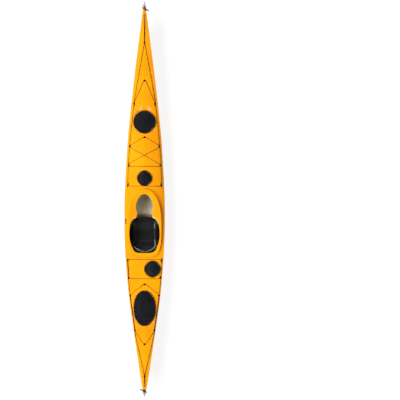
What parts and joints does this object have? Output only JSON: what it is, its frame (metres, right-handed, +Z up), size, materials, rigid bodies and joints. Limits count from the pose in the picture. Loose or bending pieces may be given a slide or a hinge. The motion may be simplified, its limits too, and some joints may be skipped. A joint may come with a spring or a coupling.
{
  "type": "sea kayak",
  "caption": "Long narrow decked sea kayak with keyhole cockpit, round and oval rubber deck hatches, deck rigging, foot rests and a drop skeg.",
  "frame": {"origin": "middle of the boat's length and beam, on the flat of the keel", "axes": "+Y to the bow, +X to starboard, +Z up"},
  "size_m": [0.5538, 5.41, 0.4154],
  "materials": {
    "yellow_gelcoat": "glossy gelcoat",
    "grey_ends": "satin",
    "laminate": "bare glass laminate",
    "hatch_rubber": "matt",
    "black_plastic": "satin",
    "rail_aluminium": "anodised",
    "band_fabric": "woven cover over foam",
    "cord": "braided",
    "skeg_blade": "satin"
  },
  "bodies": {
    "boat": {"hull": "yellow_gelcoat", "deck": "yellow_gelcoat", "coaming": "yellow_gelcoat", "bow_end_cap": "grey_ends", "stern_end_cap": "grey_ends", "front_bulkhead": "laminate", "day_bulkhead": "laminate", "rear_bulkhead": "laminate", "skeg_box": "laminate", "front_hatch_rim": "black_plastic", "day_hatch_rim": "black_plastic", "rear_hatch_rim": "black_plastic", "pod_tub": "black_plastic", "seat": "black_plastic", "skeg_track": "black_plastic", "skeg_cable": "black_plastic", "centre_bow_fitting": "black_plastic", "centre_foredeck_fitting": "black_plastic", "centre_front_fitting": "black_plastic", "centre_back_fitting": "black_plastic", "centre_hatch_fitting": "black_plastic", "centre_stern_fitting": "black_plastic", "starboard_1_fitting": "black_plastic", "port_1_fitting": "black_plastic", "starboard_2_fitting": "black_plastic", "port_2_fitting": "black_plastic", "starboard_3_fitting": "black_plastic", "port_3_fitting": "black_plastic", "starboard_4_fitting": "black_plastic", "port_4_fitting": "black_plastic", "starboard_5_fitting": "black_plastic", "port_5_fitting": "black_plastic", "starboard_6_fitting": "black_plastic", "port_6_fitting": "black_plastic", "starboard_7_fitting": "black_plastic", "port_7_fitting": "black_plastic", "starboard_8_fitting": "black_plastic", "port_8_fitting": "black_plastic", "starboard_foot_rail": "rail_aluminium", "port_foot_rail": "rail_aluminium", "bow_v_bungee": "cord", "front_deck_bungee": "cord", "pod_bungee": "cord", "rear_deck_bungee": "cord", "rear_hatch_bungee": "cord", "front_deck_line": "cord", "rear_deck_line": "cord"},
    "front_cover": {"front_hatch_cover": "hatch_rubber"},
    "pod_cover": {"pod_hatch_cover": "hatch_rubber"},
    "day_cover": {"day_hatch_cover": "hatch_rubber"},
    "rear_cover": {"rear_hatch_cover": "hatch_rubber"},
    "skeg": {"skeg_blade": "skeg_blade"},
    "skeg_knob": {"skeg_slider": "black_plastic"},
    "starboard_pedal": {"starboard_foot_pedal": "black_plastic"},
    "port_pedal": {"port_foot_pedal": "black_plastic"},
    "back_rest": {"backband": "band_fabric"},
    "bow_handle": {"bow_toggle": "black_plastic", "bow_toggle_cord": "cord"},
    "stern_handle": {"stern_toggle": "black_plastic", "stern_toggle_cord": "cord"}
  },
  "joints": [
    {"name": "front_cover_lift", "type": "slide", "parent": "boat", "child": "front_cover", "axis": [0, 0, 1], "range_m": [0, 0.3]},
    {"name": "pod_cover_lift", "type": "slide", "parent": "boat", "child": "pod_cover", "axis": [0, 0, 1], "range_m": [0, 0.3]},
    {"name": "day_cover_lift", "type": "slide", "parent": "boat", "child": "day_cover", "axis": [0, 0, 1], "range_m": [0, 0.3]},
    {"name": "rear_cover_lift", "type": "slide", "parent": "boat", "child": "rear_cover", "axis": [0, 0, 1], "range_m": [0, 0.3]},
    {"name": "skeg_drop", "type": "hinge", "parent": "boat", "child": "skeg", "pos_m": [0, -1.856, 0.03918], "axis": [1, 0, 0], "range_deg": [0, 55]},
    {"name": "skeg_slide", "type": "slide", "parent": "boat", "child": "skeg_knob", "axis": [0.0021, -1, -0.0095], "range_m": [0, 0.041]},
    {"name": "starboard_pedal_slide", "type": "slide", "parent": "boat", "child": "starboard_pedal", "axis": [-0.0548, 0.9985, 0], "range_m": [-0.14, 0.14]},
    {"name": "port_pedal_slide", "type": "slide", "parent": "boat", "child": "port_pedal", "axis": [0.0548, 0.9985, 0], "range_m": [-0.14, 0.14]},
    {"name": "backband_tilt", "type": "hinge", "parent": "boat", "child": "back_rest", "pos_m": [0, -0.648, 0.186], "axis": [-1, 0, 0], "range_deg": [0, 45]},
    {"name": "bow_toggle_swing", "type": "hinge", "parent": "boat", "child": "bow_handle", "pos_m": [0, 2.66, 0.393], "axis": [-1, 0, 0], "range_deg": [0, 105]},
    {"name": "stern_toggle_swing", "type": "hinge", "parent": "boat", "child": "stern_handle", "pos_m": [0, -2.676, 0.347], "axis": [1, 0, 0], "range_deg": [0, 105]}
  ],
  "couplings": [
    {"joint": "skeg_slide", "follows": "skeg_drop", "m_per_rad": 0.04167}
  ]
}
